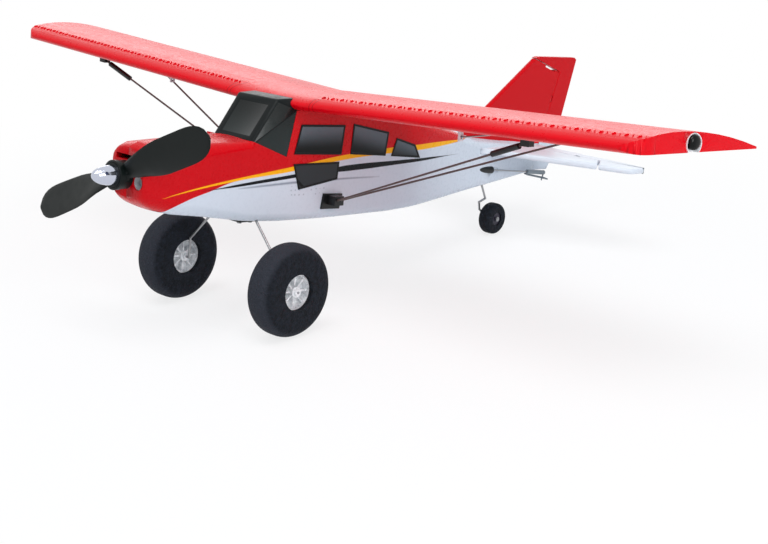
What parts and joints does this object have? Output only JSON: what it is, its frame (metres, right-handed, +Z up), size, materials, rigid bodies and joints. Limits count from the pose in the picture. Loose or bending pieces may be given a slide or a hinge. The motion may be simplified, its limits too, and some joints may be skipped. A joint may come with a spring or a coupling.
{
  "type": "rc plane",
  "caption": "Strut-braced high-wing foam RC aeroplane on a tailwheel undercarriage, with ailerons, elevator, rudder, turning propeller and belly hatch.",
  "frame": {"origin": "centre of the bounding box on the ground plane, standing on its three wheels", "axes": "+X to the aeroplane's left wingtip, -Y forward past the spinner, +Z up"},
  "size_m": [0.58, 0.4621, 0.1528],
  "materials": {
    "red_foam": "smooth moulded foam, satin paint",
    "white_foam": "smooth moulded foam, satin paint",
    "screen_black": "gloss moulded foam, painted",
    "window_dark": "gloss film",
    "black_plastic": "moulded nylon",
    "prop_plastic": "glossy moulded nylon",
    "tyre_foam": "rough cellular rubber",
    "white_plastic": "moulded nylon",
    "grey_plastic": "moulded nylon",
    "steel_wire": "drawn spring wire",
    "chrome": "polished",
    "motor_alloy": "turned",
    "strut_rod": "pultruded rod",
    "carbon": "pultruded carbon",
    "board_green": "laminate",
    "battery_blue": "shrink wrap",
    "plywood": "thin plywood"
  },
  "bodies": {
    "airframe": {"fuselage_left": "red_foam", "fuselage_right": "red_foam", "windshield": "screen_black", "side_windows": "window_dark", "motor_mount": "plywood", "motor_stator": "motor_alloy", "flight_board": "board_green", "battery": "battery_blue", "elevator_servo": "black_plastic", "rudder_servo": "black_plastic", "gear_wire": "steel_wire", "gear_clamp": "black_plastic", "clamp_screws": "steel_wire", "wheel_collars": "black_plastic", "wing_centre": "red_foam", "wing_left": "red_foam", "wing_right": "red_foam", "wing_spar": "carbon", "equipment_tray": "plywood", "tip_lamps": "black_plastic", "aileron_servo_left": "black_plastic", "aileron_servo_right": "black_plastic", "strut_brackets": "black_plastic", "strut_sleeves": "black_plastic", "struts_left": "strut_rod", "struts_right": "strut_rod", "surface_hinges": "black_plastic", "stabiliser": "white_foam", "fin": "red_foam", "pushrod_guides": "black_plastic", "tail_bearing": "black_plastic"},
    "propeller_group": {"propeller": "prop_plastic", "spinner_nut": "chrome", "motor_bell": "motor_alloy"},
    "wheel_left": {"tyre_left": "tyre_foam", "hub_left": "white_plastic"},
    "wheel_right": {"tyre_right": "tyre_foam", "hub_right": "white_plastic"},
    "hatch": {"battery_hatch": "red_foam", "hatch_latch": "black_plastic"},
    "rudder_group": {"rudder": "red_foam", "rudder_horn": "black_plastic"},
    "rudder_rod_body": {"rudder_rod": "steel_wire"},
    "rudder_arm_body": {"rudder_arm": "white_plastic"},
    "tail_fork": {"tail_wire": "steel_wire"},
    "tail_wheel": {"tail_tyre": "tyre_foam", "tail_hub": "grey_plastic"},
    "elevator_group": {"elevator_left": "white_foam", "elevator_right": "white_foam", "elevator_joiner": "black_plastic"},
    "elevator_rod_body": {"elevator_rod": "steel_wire"},
    "elevator_arm_body": {"elevator_arm": "white_plastic"},
    "aileron_left_group": {"aileron_left": "red_foam", "aileron_horn_left": "black_plastic"},
    "aileron_rod_left_body": {"aileron_rod_left": "steel_wire"},
    "aileron_arm_left_body": {"aileron_arm_left": "white_plastic"},
    "aileron_right_group": {"aileron_right": "red_foam", "aileron_horn_right": "black_plastic"},
    "aileron_rod_right_body": {"aileron_rod_right": "steel_wire"},
    "aileron_arm_right_body": {"aileron_arm_right": "white_plastic"}
  },
  "joints": [
    {"name": "prop_spin", "type": "hinge", "parent": "airframe", "child": "propeller_group", "pos_m": [0, -0.21691, 0.10888], "axis": [0, 0.9903, -0.1388], "continuous": true},
    {"name": "wheel_left_spin", "type": "hinge", "parent": "airframe", "child": "wheel_left", "pos_m": [0.0537, -0.1297, 0.0294], "axis": [1, 0, 0], "continuous": true},
    {"name": "wheel_right_spin", "type": "hinge", "parent": "airframe", "child": "wheel_right", "pos_m": [-0.0537, -0.1297, 0.0294], "axis": [1, 0, 0], "continuous": true},
    {"name": "hatch_hinge", "type": "hinge", "parent": "airframe", "child": "hatch", "pos_m": [0, -0.11229, 0.06351], "axis": [-1, 0, 0], "range_deg": [0, 80]},
    {"name": "rudder_hinge", "type": "hinge", "parent": "airframe", "child": "rudder_group", "pos_m": [0, 0.18308, 0.0528], "axis": [0, 0.4191, 0.9079], "range_deg": [-20, 20]},
    {"name": "rudder_rod_slide", "type": "slide", "parent": "airframe", "child": "rudder_rod_body", "axis": [0.055, 0.9779, -0.2017], "range_m": [-0.00534, 0.00534]},
    {"name": "rudder_arm_turn", "type": "hinge", "parent": "airframe", "child": "rudder_arm_body", "pos_m": [0.01017, -0.03349, 0.07968], "axis": [0, 0.1388, 0.9903], "range_deg": [-36, 36]},
    {"name": "tail_steer", "type": "hinge", "parent": "airframe", "child": "tail_fork", "pos_m": [0, 0.12138, 0.05135], "axis": [0, 0.1388, 0.9903], "range_deg": [-21, 21]},
    {"name": "tail_wheel_spin", "type": "hinge", "parent": "tail_fork", "child": "tail_wheel", "pos_m": [0.0035, 0.12836, 0.0118], "axis": [1, 0, 0], "continuous": true},
    {"name": "elevator_hinge", "type": "hinge", "parent": "airframe", "child": "elevator_group", "pos_m": [0, 0.16123, 0.06192], "axis": [1, 0, 0], "range_deg": [-20, 20]},
    {"name": "elevator_rod_slide", "type": "slide", "parent": "airframe", "child": "elevator_rod_body", "axis": [-0.0499, 0.9839, -0.1715], "range_m": [-0.00575, 0.00575]},
    {"name": "elevator_arm_turn", "type": "hinge", "parent": "airframe", "child": "elevator_arm_body", "pos_m": [-0.01154, -0.03401, 0.07598], "axis": [0, 0.1388, 0.9903], "range_deg": [-38, 38]},
    {"name": "aileron_left_hinge", "type": "hinge", "parent": "airframe", "child": "aileron_left_group", "pos_m": [0.13565, -0.01834, 0.13213], "axis": [0.9987, 0.0058, 0.0503], "range_deg": [-20, 20]},
    {"name": "aileron_rod_left_slide", "type": "slide", "parent": "airframe", "child": "aileron_rod_left_body", "axis": [0, 0.9934, -0.1146], "range_m": [-0.00358, 0.00358]},
    {"name": "aileron_arm_left_turn", "type": "hinge", "parent": "airframe", "child": "aileron_arm_left_body", "pos_m": [0.13432, -0.063, 0.13765], "axis": [0.9987, 0.0058, 0.0503], "range_deg": [-21, 21]},
    {"name": "aileron_right_hinge", "type": "hinge", "parent": "airframe", "child": "aileron_right_group", "pos_m": [-0.13565, -0.01834, 0.13213], "axis": [0.9987, -0.0058, -0.0503], "range_deg": [-21, 21]},
    {"name": "aileron_rod_right_slide", "type": "slide", "parent": "airframe", "child": "aileron_rod_right_body", "axis": [0, 0.9934, -0.1146], "range_m": [-0.00358, 0.00358]},
    {"name": "aileron_arm_right_turn", "type": "hinge", "parent": "airframe", "child": "aileron_arm_right_body", "pos_m": [-0.13432, -0.063, 0.13765], "axis": [0.9987, -0.0058, -0.0503], "range_deg": [-21, 21]}
  ],
  "couplings": [
    {"joint": "rudder_rod_slide", "follows": "rudder_hinge", "m_per_rad": 0.015019},
    {"joint": "rudder_arm_turn", "follows": "rudder_hinge", "ratio": -1.6584},
    {"joint": "tail_steer", "follows": "rudder_hinge", "ratio": 1},
    {"joint": "elevator_rod_slide", "follows": "elevator_hinge", "m_per_rad": 0.016193},
    {"joint": "elevator_arm_turn", "follows": "elevator_hinge", "ratio": 1.7609},
    {"joint": "aileron_right_hinge", "follows": "aileron_left_hinge", "ratio": -1},
    {"joint": "aileron_rod_left_slide", "follows": "aileron_left_hinge", "m_per_rad": 0.009972},
    {"joint": "aileron_arm_left_turn", "follows": "aileron_left_hinge", "ratio": 0.9596},
    {"joint": "aileron_rod_right_slide", "follows": "aileron_left_hinge", "m_per_rad": -0.009972},
    {"joint": "aileron_arm_right_turn", "follows": "aileron_left_hinge", "ratio": -0.9596}
  ]
}
